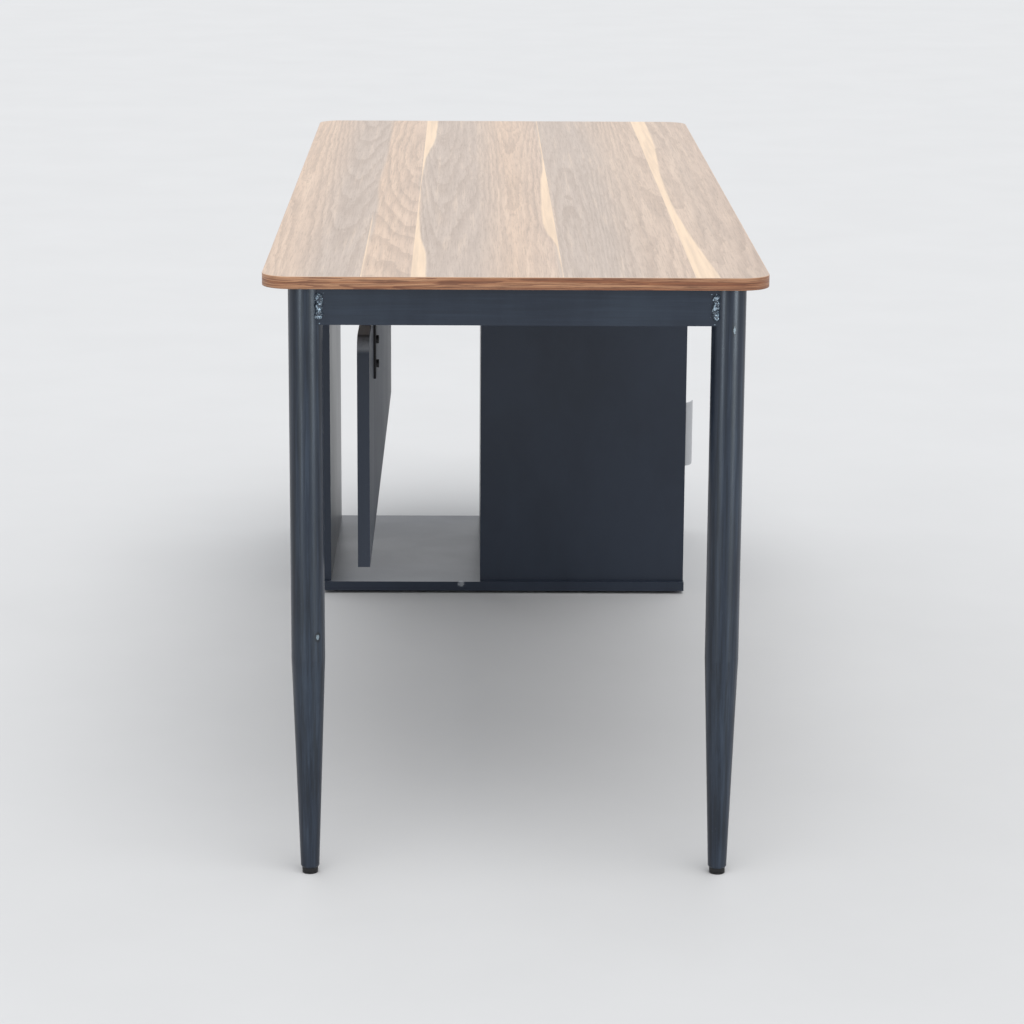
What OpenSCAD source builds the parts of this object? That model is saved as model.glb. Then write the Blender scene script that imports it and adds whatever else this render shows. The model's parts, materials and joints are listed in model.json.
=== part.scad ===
// Office desk. A welded steel end frame with two tapered round legs carries one end of the
// board, and a laminate side cabinet carries the other end.
// X runs across the desk towards the user's side, Y runs along its length from the legs to
// the cabinet, and Z is up. The origin is on the floor under the centre of the whole desk.
// Inside the modules X = 0 is the steel frame's centre line and Y = 0 is the board's near
// edge; in_frame() moves that to the origin.

/* [Desktop] */
// Width of the board across the desk
desk_w = 600; // [580:5:680]
// Length of the board from the leg end to the cabinet end
desk_len = 1600; // [1500:10:1700]
// Height of the working surface above the floor
desk_h = 750; // [730:5:780]
// Thickness of the board
desk_t = 15; // [15:1:25]
// Plan radius of the board's four corners
desk_corner_r = 35; // [20:1:60]
// Thickness of the band glued round the board's edge
band_t = 1; // [0.5:0.5:2]
// Sideways offset of the board on its frame
board_offset = -2; // [-4:1:4]

/* [Legs] */
// Outer diameter of a leg above its taper
leg_d = 41; // [38:1:45]
// Outer diameter of a leg at its lower end
leg_foot_d = 23; // [22:1:30]
// Length of the tapered lower part of a leg
leg_taper = 268; // [200:1:350]
// Distance between the two leg axes
leg_span = 503; // [480:1:520]
// Distance from the board's near edge to the front of a leg
leg_setback = 21; // [15:1:40]
// Wall thickness of every steel tube
tube_wall = 1.5; // [1:0.1:2]
// Height of a levelling pad
pad_h = 8; // [6:1:12]
// Diameter of a levelling pad
pad_d = 19.4; // [18:0.2:22]

/* [Frame] */
// Height of the crossbars and side rails
bar_h = 45; // [40:1:50]
// Width of the crossbars and side rails
bar_w = 30; // [25:1:30]
// Distance between the outer faces of the two side rails
rail_spread = 349; // [320:1:360]
// Thickness of the plates welded on top of the frame
plate_t = 2; // [2:0.5:3]
// Distance from the board's far edge to the end of the rails
rail_end_gap = 25; // [20:1:60]

/* [Cabinet] */
// Width of the cabinet across the desk
cab_w = 593; // [580:1:600]
// Depth of the cabinet along the desk
cab_d = 465; // [440:1:500]
// Distance from the board's near edge to the cabinet
cab_y = 1385; // [1300:5:1400]
// Thickness of every cabinet board
cab_t = 15; // [15:1:18]
// Height of the plastic glides under the cabinet
cab_glide_h = 5; // [4:1:8]
// Step from the edge of the bottom and top boards to the upright boards
cab_step = 8; // [4:1:12]
// Depth of the cupboard across the desk
box_d = 333; // [320:1:360]
// Height of the cupboard door
door_h = 480; // [460:1:490]
// Clearance round the door
door_gap = 3; // [3:0.5:4]

/* [Door pull] */
// Height of the pull
pull_h = 105; // [90:1:130]
// How far the lip stands out from the door's face
pull_reach = 13.5; // [12:0.5:15]
// How far the lip reaches back over the door's face
pull_lip = 21; // [18:1:26]
// Thickness of the pull's sheet
pull_t = 1.5; // [1.2:0.1:2]

/* [Modesty panel] */
// Length of the panel along the desk
modesty_len = 1100; // [1000:10:1200]
// Height of the panel
modesty_h = 285; // [260:5:300]
// Distance from the board's near edge to the panel
modesty_y = 95; // [80:5:120]
// Height of the panel's lower edge above the floor
modesty_z = 375; // [360:5:390]
// Radius of the panel's upper corners
modesty_r = 25; // [15:1:40]
// Thickness of the strap brackets
strap_t = 3; // [2:0.5:4]

/* [Hidden] */

$fn = 64;
// Radial clearance of a running fit and of a screw in its hole
fit = 0.05;
// Extra length of a cutting solid past the face it cuts
over = 1;

// Heights of the frame
desk_z0 = desk_h - desk_t;
bar_z1 = desk_z0 - plate_t;
bar_z0 = bar_z1 - bar_h;
bar_mid_z = (bar_z0 + bar_z1) / 2;

// Legs and their feet
leg_r = leg_d / 2;
leg_foot_r = leg_foot_d / 2;
leg_x = leg_span / 2;
leg_y = leg_setback + leg_r;
tube_end_chamfer = [1, 2];
leg_inner_r = leg_r - tube_wall;
plug_h = 12;
stem_r = 4;
stem_len = 36;
stem_seat_z = 3;
pad_chamfer = 1;

// Crossbars and rails
bar_y0 = leg_y - bar_w / 2;
bar_y1 = leg_y + bar_w / 2;
bead_r = 4;
bead_lead = 2.4;
bead_margin = 3;
rail_out = rail_spread / 2;
rail_in = rail_out - bar_w;
rail_mid = rail_out - bar_w / 2;
end_plate_t = 3;
end_plate_w = 64;
end_plate_margin = 2;
end_bolt_span = 48;
rail_y0 = bar_y1 + end_plate_t;
rail_y1 = desk_len - rail_end_gap;
brace_h = 20;
brace_y = desk_len / 2 - bar_w / 2;
cap_t = 2;
cap_depth = 12;

// Fixing of the board to the frame
fix_ys = [180, 560, 1040, 1500];
fix_plate_l = 40;
fix_reach = 30;
fix_x = rail_in - fix_reach / 2;
leg_tongue_l = 52;
leg_tongue_w = 30;
leg_screw_y = 38;
screw_r = 3;
screw_head_r = 6;
screw_head_h = 3;
insert_r = 5;
insert_h = 10;
screw_bite = 9;

// M6 bolts
bolt_r = 3;
bolt_bite = 12;
bolt_head_r = 5.3;
bolt_head_h = 3.6;
hex_r = 5.8;
hex_h = 4;
nut_r = 5;
nut_h = 8;

// Cabinet
cab_x0 = -cab_w / 2;
cab_x1 = cab_w / 2;
cab_y1 = cab_y + cab_d;
floor_z = cab_glide_h + cab_t;
cab_h = bar_z0;
ceil_z = cab_h - cab_t;
up_y0 = cab_y + cab_step;
up_y1 = cab_y1 - cab_step;
door_inset = 1;
box_x1 = cab_x1 - door_inset;
box_x0 = box_x1 - box_d;
in_x0 = box_x0 + cab_t;
in_y0 = up_y0 + cab_t;
in_y1 = up_y1 - cab_t;
in_w = in_y1 - in_y0;
divider_z = floor_z + door_h + 2 * door_gap;
cab_bolt_inset = 50;
cab_bolt_span = 115;
cab_bolt_ys = [cab_y + cab_bolt_inset, cab_y + cab_bolt_inset + cab_bolt_span];
glide_r = 11;
glide_inset = 40;

// Confirmat screws up through the bottom board
conf_r = 3.5;
conf_head_r = 5;
conf_head_h = 3;
conf_len = 50;
fix_inset_x = 60;
fix_inset_y = 70;
side_fix_x = [box_x0 + fix_inset_x, box_x1 - fix_inset_x];
side_fix_y = [up_y0 + fix_inset_y, up_y1 - fix_inset_y];
vis_mid_x = cab_x0 + cab_t / 2;
near_mid_y = up_y0 + cab_t / 2;
far_mid_y = up_y1 - cab_t / 2;
back_mid_x = box_x0 + cab_t / 2;
conf_points = [for (y = side_fix_y) [vis_mid_x, y], for (x = side_fix_x) [x, near_mid_y],
    for (x = side_fix_x) [x, far_mid_y], for (y = side_fix_y) [back_mid_x, y]];

// Cam locks under the top board: place and direction of the inner face
cam_r = 7.5;
cam_depth = 12.5;
cam_drop = 34;
cam_bolt_r = 3;
cam_bolt_bite = 10;
cam_recess = 0.5;
cam_points = [for (y = side_fix_y) [vis_mid_x, y, 0], for (x = side_fix_x) [x, near_mid_y, 90],
    for (x = side_fix_x) [x, far_mid_y, -90]];

// Dowels
dowel_r = 4;
dowel_len = 28;
dowel_bite = 9;
back_dowel_span = 240;
box_mid_x = (box_x0 + box_x1) / 2;
up_mid_y = (up_y0 + up_y1) / 2;
top_dowels = [for (side = [-1, 1]) [back_mid_x, up_mid_y + side * back_dowel_span / 2],
    [vis_mid_x, up_mid_y], [box_mid_x, near_mid_y], [box_mid_x, far_mid_y]];
divider_dowel_inset = 50;
divider_dowel_x = [in_x0 + divider_dowel_inset, box_x1 - divider_dowel_inset];
divider_mid_z = divider_z + cab_t / 2;

// Shelf and its row of pin holes
shelf_clear = 1;
shelf_back_gap = 2;
shelf_front_gap = 12;
pin_r = 2.5;
pin_bite = 8;
pin_flange_r = 4;
pin_flange_l = 6;
pin_pitch = 32;
pin_first_rise = 101;
pin_first_z = floor_z + pin_first_rise;
pin_back_inset = 45;
pin_front_inset = 55;
pin_count = 7;
pin_used = 4;
shelf_z = pin_first_z + pin_used * pin_pitch + pin_flange_r;

// Door, its pull and its catch
door_x0 = box_x1 - cab_t;
door_y0 = in_y0 + door_gap;
door_y1 = in_y1 - door_gap;
door_z0 = floor_z + door_gap;
pull_z0 = door_z0 + door_h / 2 - pull_h / 2;
shelf_pin_x = [in_x0 + pin_back_inset, door_x0 - pin_front_inset];
pull_flange = 25;
pull_low_r = 8;
pull_top_r = 3;
lip_start = [box_x1 + pull_t, door_y0 - pull_t / 2];
lip_turn_back = 4;
lip_turn = [box_x1 + pull_reach - 2 * pull_t, door_y0 + lip_turn_back];
lip_tip = [box_x1 + pull_reach - pull_t / 2, door_y0 + pull_lip];
wood_screw_r = 1.6;
wood_screw_bite = 11;
pull_head_r = 3.2;
pull_head_h = 1.6;
pull_screw_inset = 20;
pull_screw_z = [pull_z0 + pull_screw_inset, pull_z0 + pull_h - pull_screw_inset];
pull_screw_edge = 8;
pull_screw_y = door_y0 + pull_flange - pull_screw_edge;
catch_size = [28, 45, 14];
strike_size = [1, 34, 12];
catch_gap = 0.1;
catch_inset = 35;
catch_y = door_y0 + catch_inset;

// Hinges
hinge_h = 50;
hinge_t = 1.2;
knuckle_r = 3;
pin_hinge_r = 1.5;
pin_head_r = 2.4;
pin_head_h = 1;
knuckle_out = 3.5;
hinge_x = box_x1 + knuckle_out;
hinge_y = in_y1 - door_gap / 2;
hinge_inset = 70;
hinge_zs = [door_z0 + hinge_inset, door_z0 + door_h - hinge_inset];
case_leaf_w = 24;
case_leaf_x = box_x1 - case_leaf_w;
door_leaf_inset = 1;
door_leaf_x = door_x0 + door_leaf_inset;
knuckle_h = hinge_h / 3;
knuckle_gap = 0.15;
hinge_screw_dz = [-18, 0, 18];
hinge_head_r = 2.9;
hinge_screw_len = 12;
head_play = 0.1;
case_screw_x = (case_leaf_x + box_x1) / 2;
door_screw_x = (door_x0 + box_x1) / 2;

// Modesty panel and its straps
strap_w = 30;
strap_x = -rail_out;
panel_x1 = strap_x - strap_t;
strap_cover = 84;
strap_z0 = modesty_z + modesty_h - strap_cover;
strap_top_gap = 3;
strap_z1 = bar_z1 - strap_top_gap;
strap_inset = 174;
strap_ys = [modesty_y + strap_inset, modesty_y + modesty_len - strap_inset - strap_w];
panel_bolt_rises = [17, 48];
panel_bolt_z = [for (rise = panel_bolt_rises) strap_z0 + rise];
rail_bolt_inset = 12;
rail_bolt_z = [bar_z0 + rail_bolt_inset, bar_z1 - rail_bolt_inset];

// Centre of the whole desk's bounding box
min_x = board_offset - desk_w / 2;
max_x = box_x1 + pull_reach;
centre = [(min_x + max_x) / 2, cab_y1 / 2];

paint = [0.22, 0.25, 0.29];
board_grey = [0.20, 0.22, 0.26];
walnut = [0.72, 0.61, 0.52];
walnut_band = [0.55, 0.37, 0.27];
black = [0.08, 0.08, 0.10];
zinc = [0.70, 0.71, 0.73];
pull_metal = [0.66, 0.68, 0.70];
beech = [0.80, 0.68, 0.50];

// ---- helpers ----

module in_frame() {
    translate([-centre[0], -centre[1], 0]) children();
}

// Plan outline of a rectangle with round corners, centred
module round_rect(w, l, r) {
    square([w - 2 * r, l], center = true);
    square([w, l - 2 * r], center = true);
    for (sx = [-1, 1], sy = [-1, 1])
        translate([sx * (w / 2 - r), sy * (l / 2 - r)]) circle(r);
}

// Box given by its lowest corner and its highest corner
module box(low, high) {
    translate(low) cube(high - low);
}

// Rectangular tube along Y
module tube_y(low, high, w) {
    difference() {
        box(low, high);
        box(low + [w, -over, w], high + [-w, over, -w]);
    }
}

// Rectangular tube along X
module tube_x(low, high, w) {
    difference() {
        box(low, high);
        box(low + [-over, w, w], high + [over, -w, -w]);
    }
}

// Cylinder along X, starting at a point
module rod_x(p, r, h) {
    translate(p) rotate([0, 90, 0]) cylinder(r = r, h = h);
}

// Cylinder along Y, starting at a point
module rod_y(p, r, h) {
    translate(p) rotate([-90, 0, 0]) cylinder(r = r, h = h);
}

// ---- desktop ----

// Places of the screws that hold the board: four along each rail, one behind each leg
screw_points = [for (sx = [-1, 1], y = fix_ys) [sx * fix_x, y],
    for (sx = [-1, 1]) [sx * leg_x, leg_y + leg_screw_y]];

module at_screws() {
    for (p = screw_points) translate([p[0], p[1], 0]) children();
}

module desktop_board() {
    color(walnut) in_frame() difference() {
        translate([board_offset, desk_len / 2, desk_z0])
            linear_extrude(desk_t)
                round_rect(desk_w - 2 * band_t, desk_len - 2 * band_t, desk_corner_r - band_t);
        at_screws() translate([0, 0, desk_z0 - over])
            cylinder(r = insert_r + fit, h = insert_h + over);
    }
}

module desktop_edge_band() {
    color(walnut_band) in_frame()
        translate([board_offset, desk_len / 2, desk_z0])
            linear_extrude(desk_t) difference() {
                round_rect(desk_w, desk_len, desk_corner_r);
                round_rect(desk_w - 2 * band_t, desk_len - 2 * band_t, desk_corner_r - band_t);
            }
}

module desktop_inserts() {
    color(zinc) in_frame() at_screws() translate([0, 0, desk_z0]) difference() {
        cylinder(r = insert_r, h = insert_h - fit);
        translate([0, 0, -over]) cylinder(r = screw_r + fit, h = insert_h + 2 * over);
    }
}

module desktop_screws() {
    color(zinc) in_frame() at_screws() {
        translate([0, 0, bar_z1 - screw_head_h]) cylinder(r = screw_head_r, h = screw_head_h);
        translate([0, 0, bar_z1 - over]) cylinder(r = screw_r, h = over + plate_t + screw_bite);
    }
}

// ---- legs ----

// Outer outline of a leg from its lower end upwards, as [radius, height] points
leg_outer = [[leg_foot_r - tube_end_chamfer[0], pad_h],
    [leg_foot_r, pad_h + tube_end_chamfer[1]],
    [leg_r, pad_h + leg_taper], [leg_r, bar_z1]];
leg_inner = [[leg_inner_r, bar_z1], [leg_inner_r, pad_h + leg_taper],
    [leg_foot_r - tube_wall, pad_h]];

module leg_tube(sx) {
    color(paint) in_frame() translate([sx * leg_x, leg_y, 0])
        rotate_extrude() polygon(concat(leg_outer, leg_inner));
}

module leg_top_plate(sx) {
    color(paint) in_frame() translate([sx * leg_x, leg_y, bar_z1]) difference() {
        union() {
            cylinder(r = leg_r, h = plate_t);
            box([-leg_tongue_w / 2, 0, 0], [leg_tongue_w / 2, leg_tongue_l, plate_t]);
        }
        translate([0, leg_screw_y, -over]) cylinder(r = screw_r + fit, h = plate_t + 2 * over);
    }
}

module foot_plug(sx) {
    color(zinc) in_frame() translate([sx * leg_x, leg_y, pad_h]) difference() {
        cylinder(r = leg_foot_r - tube_wall - fit, h = plug_h);
        translate([0, 0, -over]) cylinder(r = stem_r + fit, h = plug_h + 2 * over);
    }
}

module foot_stem(sx) {
    color(zinc) in_frame() translate([sx * leg_x, leg_y, stem_seat_z + fit])
        cylinder(r = stem_r, h = stem_len);
}

module foot_pad(sx) {
    color(black) in_frame() translate([sx * leg_x, leg_y, 0]) difference() {
        rotate_extrude() polygon([[0, 0], [pad_d / 2 - pad_chamfer, 0],
            [pad_d / 2, pad_chamfer], [pad_d / 2, pad_h - fit], [0, pad_h - fit]]);
        translate([0, 0, stem_seat_z]) cylinder(r = stem_r + fit, h = pad_h);
    }
}

// ---- frame ----

module end_crossbar() {
    color(paint) in_frame() difference() {
        tube_x([-leg_x, bar_y0, bar_z0], [leg_x, bar_y1, bar_z1], tube_wall);
        for (sx = [-1, 1])
            translate([sx * leg_x, leg_y, bar_z0 - over])
                cylinder(r = leg_r + fit, h = bar_h + 2 * over);
        for (sx = [-1, 1], side = [-1, 1])
            rod_y([sx * rail_mid + side * end_bolt_span / 2, bar_y1 - tube_wall - over, bar_mid_z],
                bolt_r + fit, tube_wall + 2 * over);
    }
}

// Two upright weld beads, on the front and the back of the crossbar's end
module weld_beads(sx) {
    bead_x = leg_x - sqrt(leg_r * leg_r - bar_w * bar_w / 4) - bead_lead;
    color(paint) in_frame() difference() {
        for (y = [bar_y0, bar_y1])
            translate([sx * bead_x, y, bar_z0 + bead_margin])
                cylinder(r = bead_r, h = bar_h - 2 * bead_margin);
        translate([sx * leg_x, leg_y, bar_z0]) cylinder(r = leg_r + fit, h = bar_h);
        box([-leg_x, bar_y0, bar_z0], [leg_x, bar_y1, bar_z1]);
    }
}

module side_rail(sx) {
    color(paint) in_frame() difference() {
        translate([sx * rail_mid - bar_w / 2, 0, 0])
            tube_y([0, rail_y0, bar_z0], [bar_w, rail_y1, bar_z1], tube_wall);
        for (y = cab_bolt_ys)
            translate([sx * rail_mid, y, bar_z0 - over])
                cylinder(r = bolt_r + fit, h = tube_wall + 2 * over);
        if (sx < 0)
            for (y = strap_ys, z = rail_bolt_z)
                rod_x([strap_x - over, y + strap_w / 2, z], bolt_r + fit, tube_wall + 2 * over);
    }
}

module rail_end_plates() {
    color(paint) in_frame() for (sx = [-1, 1]) translate([sx * rail_mid, 0, 0]) difference() {
        box([-end_plate_w / 2, bar_y1, bar_z0 + end_plate_margin],
            [end_plate_w / 2, rail_y0, bar_z1 - end_plate_margin]);
        for (side = [-1, 1])
            rod_y([side * end_bolt_span / 2, bar_y1 - over, bar_mid_z],
                bolt_r + fit, end_plate_t + 2 * over);
    }
}

module rail_end_bolts() {
    color(zinc) in_frame() for (sx = [-1, 1], side = [-1, 1])
        translate([sx * rail_mid + side * end_bolt_span / 2, 0, bar_mid_z]) {
            rod_y([0, rail_y0, 0], bolt_head_r, bolt_head_h);
            rod_y([0, bar_y1 - bar_w / 2, 0], bolt_r, bar_w / 2 + end_plate_t + over);
        }
}

module rail_end_caps() {
    plug = tube_wall + fit;
    color(black) in_frame() for (sx = [-1, 1]) translate([sx * rail_mid - bar_w / 2, 0, 0]) {
        box([0, rail_y1, bar_z0], [bar_w, rail_y1 + cap_t, bar_z1]);
        box([plug, rail_y1 - cap_depth, bar_z0 + plug], [bar_w - plug, rail_y1 + over, bar_z1 - plug]);
    }
}

module mid_brace() {
    color(paint) in_frame()
        tube_x([-rail_in, brace_y, bar_z1 - brace_h], [rail_in, brace_y + bar_w, bar_z1], tube_wall);
}

module far_crossbar() {
    color(paint) in_frame()
        tube_x([-rail_in, rail_y1 - bar_w, bar_z0], [rail_in, rail_y1, bar_z1], tube_wall);
}

module fixing_plates() {
    color(paint) in_frame() for (sx = [-1, 1], y = fix_ys) difference() {
        translate([sx * (rail_out - (bar_w + fix_reach) / 2), y, bar_z1 + plate_t / 2])
            cube([bar_w + fix_reach, fix_plate_l, plate_t], center = true);
        translate([sx * fix_x, y, bar_z1 - over])
            cylinder(r = screw_r + fit, h = plate_t + 2 * over);
    }
}

module at_cabinet_bolts() {
    for (sx = [-1, 1], y = cab_bolt_ys) translate([sx * rail_mid, y, 0]) children();
}

module cabinet_bolts() {
    color(zinc) in_frame() at_cabinet_bolts() {
        translate([0, 0, ceil_z - hex_h]) cylinder(r = hex_r, h = hex_h, $fn = 6);
        translate([0, 0, ceil_z - over]) cylinder(r = bolt_r, h = over + cab_t + tube_wall + nut_h);
    }
}

module rail_nuts() {
    color(zinc) in_frame() at_cabinet_bolts() translate([0, 0, bar_z0 + tube_wall]) difference() {
        cylinder(r = nut_r, h = nut_h);
        translate([0, 0, -over]) cylinder(r = bolt_r + fit, h = nut_h + 2 * over);
    }
}

// ---- modesty panel ----

module modesty_panel() {
    top = modesty_z + modesty_h;
    color(board_grey) in_frame() difference() {
        union() {
            box([panel_x1 - cab_t, modesty_y, modesty_z],
                [panel_x1, modesty_y + modesty_len, top - modesty_r]);
            box([panel_x1 - cab_t, modesty_y + modesty_r, top - modesty_r - over],
                [panel_x1, modesty_y + modesty_len - modesty_r, top]);
            for (y = [modesty_y + modesty_r, modesty_y + modesty_len - modesty_r])
                rod_x([panel_x1 - cab_t, y, top - modesty_r], modesty_r, cab_t);
        }
        for (y = strap_ys, z = panel_bolt_z)
            rod_x([panel_x1 - bolt_bite - fit, y + strap_w / 2, z], bolt_r + fit, bolt_bite + over);
    }
}

module strap_bracket(y) {
    color(black) in_frame() difference() {
        box([panel_x1, y, strap_z0], [strap_x, y + strap_w, strap_z1]);
        for (z = concat(panel_bolt_z, rail_bolt_z))
            rod_x([panel_x1 - over, y + strap_w / 2, z], bolt_r + fit, strap_t + 2 * over);
    }
}

// The lower two bolts of a strap go into the panel, the upper two into the rail
module strap_bolts() {
    color(black) in_frame() for (y = strap_ys) translate([0, y + strap_w / 2, 0]) {
        for (z = panel_bolt_z) {
            rod_x([strap_x, 0, z], bolt_head_r, bolt_head_h);
            rod_x([panel_x1 - bolt_bite, 0, z], bolt_r, bolt_bite + strap_t + over);
        }
        for (z = rail_bolt_z) {
            rod_x([panel_x1 - bolt_head_h, 0, z], bolt_head_r, bolt_head_h);
            rod_x([panel_x1 - over, 0, z], bolt_r, over + strap_t + bolt_bite);
        }
    }
}

// ---- cabinet boards ----

module at_conf_points() {
    for (p = conf_points) translate([p[0], p[1], 0]) children();
}

module conf_holes() {
    at_conf_points() {
        translate([0, 0, cab_glide_h - over])
            cylinder(r = conf_head_r + fit, h = conf_head_h + over + fit);
        translate([0, 0, cab_glide_h])
            cylinder(r = conf_r + fit, h = conf_len + over);
    }
}

module at_cams() {
    for (p = cam_points) translate([p[0], p[1], ceil_z]) rotate([0, 0, p[2]]) children();
}

module cam_cuts() {
    at_cams() {
        rod_x([cab_t / 2 - cam_depth, 0, -cam_drop], cam_r + fit, cam_depth + over);
        translate([0, 0, -cam_drop]) cylinder(r = cam_bolt_r + fit, h = cam_drop + cam_bolt_bite);
    }
}

module dowel_cuts() {
    for (p = top_dowels)
        translate([p[0], p[1], ceil_z + dowel_bite - dowel_len - over])
            cylinder(r = dowel_r + fit, h = dowel_len + over + fit);
    for (x = divider_dowel_x) {
        rod_y([x, in_y0 - dowel_bite - fit, divider_mid_z],
            dowel_r + fit, dowel_len + over);
        rod_y([x, in_y1 + dowel_bite - dowel_len - over, divider_mid_z],
            dowel_r + fit, dowel_len + over + fit);
    }
}

// Rows of blind holes for the shelf pins, on the inner faces of the two box sides
module pin_cuts() {
    for (x = shelf_pin_x, i = [0 : pin_count - 1])
        rod_y([x, in_y0 - pin_bite - fit, pin_first_z + i * pin_pitch], pin_r + fit,
            in_w + 2 * (pin_bite + fit));
}

// Cuts shared by the upright boards
module board_cuts() {
    conf_holes();
    cam_cuts();
    dowel_cuts();
}

module cabinet_bottom() {
    color(board_grey) in_frame() difference() {
        box([cab_x0, cab_y, cab_glide_h], [cab_x1, cab_y1, floor_z]);
        conf_holes();
    }
}

module cabinet_top() {
    color(board_grey) in_frame() difference() {
        box([cab_x0, cab_y, ceil_z], [cab_x1, cab_y1, cab_h]);
        cam_cuts();
        dowel_cuts();
        at_cabinet_bolts() translate([0, 0, ceil_z - over])
            cylinder(r = bolt_r + fit, h = cab_t + 2 * over);
    }
}

module visitor_side_panel() {
    color(board_grey) in_frame() difference() {
        box([cab_x0, up_y0, floor_z], [cab_x0 + cab_t, up_y1, ceil_z]);
        board_cuts();
    }
}

module hinge_screw_cuts() {
    for (z = hinge_zs, dz = hinge_screw_dz) {
        rod_y([case_screw_x, in_y1 - over, z + dz], wood_screw_r + fit, hinge_screw_len + over);
        rod_y([door_screw_x, door_y1 - hinge_screw_len, z + dz],
            wood_screw_r + fit, hinge_screw_len + over);
    }
}

module box_near_side() {
    color(board_grey) in_frame() difference() {
        box([box_x0, up_y0, floor_z], [box_x1, in_y0, ceil_z]);
        board_cuts();
        pin_cuts();
    }
}

module box_far_side() {
    color(board_grey) in_frame() difference() {
        box([box_x0, in_y1, floor_z], [box_x1, up_y1, ceil_z]);
        board_cuts();
        pin_cuts();
        hinge_screw_cuts();
    }
}

module box_back() {
    color(board_grey) in_frame() difference() {
        box([box_x0, in_y0, floor_z], [in_x0, in_y1, ceil_z]);
        board_cuts();
    }
}

module box_divider() {
    color(board_grey) in_frame() difference() {
        box([in_x0, in_y0, divider_z], [box_x1, in_y1, divider_z + cab_t]);
        dowel_cuts();
    }
}

module adjustable_shelf() {
    color(board_grey) in_frame()
        box([in_x0 + shelf_back_gap, in_y0 + shelf_clear, shelf_z],
            [door_x0 - shelf_front_gap, in_y1 - shelf_clear, shelf_z + cab_t]);
}

// ---- cabinet fittings ----

module cabinet_glides() {
    mid_x = (cab_x0 + cab_x1) / 2;
    color(black) in_frame()
        for (x = [cab_x0 + glide_inset, mid_x, cab_x1 - glide_inset],
            y = [cab_y + glide_inset, cab_y1 - glide_inset])
            translate([x, y, 0]) cylinder(r = glide_r, h = cab_glide_h);
}

module cabinet_screws() {
    color(zinc) in_frame() at_conf_points() {
        translate([0, 0, cab_glide_h]) cylinder(r = conf_head_r, h = conf_head_h);
        translate([0, 0, cab_glide_h + over]) cylinder(r = conf_r, h = conf_len - over);
    }
}

module cam_locks() {
    color(zinc) in_frame() at_cams()
        rod_x([cab_t / 2 - cam_depth + fit, 0, -cam_drop], cam_r, cam_depth - cam_recess);
}

module cam_bolts() {
    color(zinc) in_frame() at_cams()
        translate([0, 0, cam_r + fit - cam_drop])
            cylinder(r = cam_bolt_r, h = cam_drop - cam_r + cam_bolt_bite - 2 * fit);
}

module dowels() {
    color(beech) in_frame() {
        for (p = top_dowels)
            translate([p[0], p[1], ceil_z + dowel_bite - dowel_len])
                cylinder(r = dowel_r, h = dowel_len);
        for (x = divider_dowel_x) {
            rod_y([x, in_y0 - dowel_bite, divider_mid_z], dowel_r, dowel_len);
            rod_y([x, in_y1 + dowel_bite - dowel_len, divider_mid_z], dowel_r, dowel_len);
        }
    }
}

module shelf_pins() {
    z = pin_first_z + pin_used * pin_pitch;
    color(zinc) in_frame() for (x = shelf_pin_x) {
        rod_y([x, in_y0 - pin_bite, z], pin_r, pin_bite + over);
        rod_y([x, in_y0, z], pin_flange_r, pin_flange_l);
        rod_y([x, in_y1 - over, z], pin_r, pin_bite + over);
        rod_y([x, in_y1 - pin_flange_l, z], pin_flange_r, pin_flange_l);
    }
}

module magnet_catch() {
    x1 = door_x0 - strike_size[0] - catch_gap;
    color(black) in_frame()
        box([x1 - catch_size[0], catch_y, divider_z - catch_size[2]],
            [x1, catch_y + catch_size[1], divider_z]);
}

module catch_strike() {
    y = catch_y + (catch_size[1] - strike_size[1]) / 2;
    z1 = door_z0 + door_h - over;
    color(zinc) in_frame()
        box([door_x0 - strike_size[0], y, z1 - strike_size[2]], [door_x0, y + strike_size[1], z1]);
}

// ---- door ----

module door() {
    color(board_grey) in_frame() difference() {
        box([door_x0, door_y0, door_z0], [box_x1, door_y1, door_z0 + door_h]);
        hinge_screw_cuts();
        for (z = pull_screw_z)
            rod_x([door_x0 - over, pull_screw_y, z], wood_screw_r + fit,
                wood_screw_bite + over);
    }
}

// A point and a unit normal on the lip's curve, for t from 0 at the door's edge to 1 at the tip
function lip_point(t) = (1 - t) * (1 - t) * lip_start + 2 * t * (1 - t) * lip_turn + t * t * lip_tip;
function lip_slope(t) = 2 * (1 - t) * (lip_turn - lip_start) + 2 * t * (lip_tip - lip_turn);
function lip_normal(t) = [-lip_slope(t)[1], lip_slope(t)[0]] / norm(lip_slope(t));
lip_steps = 12;
lip_outline = concat(
    [for (i = [0 : lip_steps]) lip_point(i / lip_steps) - lip_normal(i / lip_steps) * pull_t / 2],
    [for (i = [lip_steps : -1 : 0]) lip_point(i / lip_steps) + lip_normal(i / lip_steps) * pull_t / 2]);

// The lip's outline seen from the side, with its two outer corners rounded
module lip_side_outline() {
    near = door_y0 - 2 * pull_t;
    reach = door_y0 + pull_lip + pull_t;
    low = pull_z0 + pull_low_r;
    top = pull_z0 + pull_h - pull_top_r;
    translate([reach - pull_low_r, low]) circle(pull_low_r);
    translate([reach - pull_top_r, top]) circle(pull_top_r);
    polygon([[near, pull_z0], [reach - pull_low_r, pull_z0], [reach, low], [reach, top],
        [reach - pull_top_r, pull_z0 + pull_h], [near, pull_z0 + pull_h]]);
}

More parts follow.
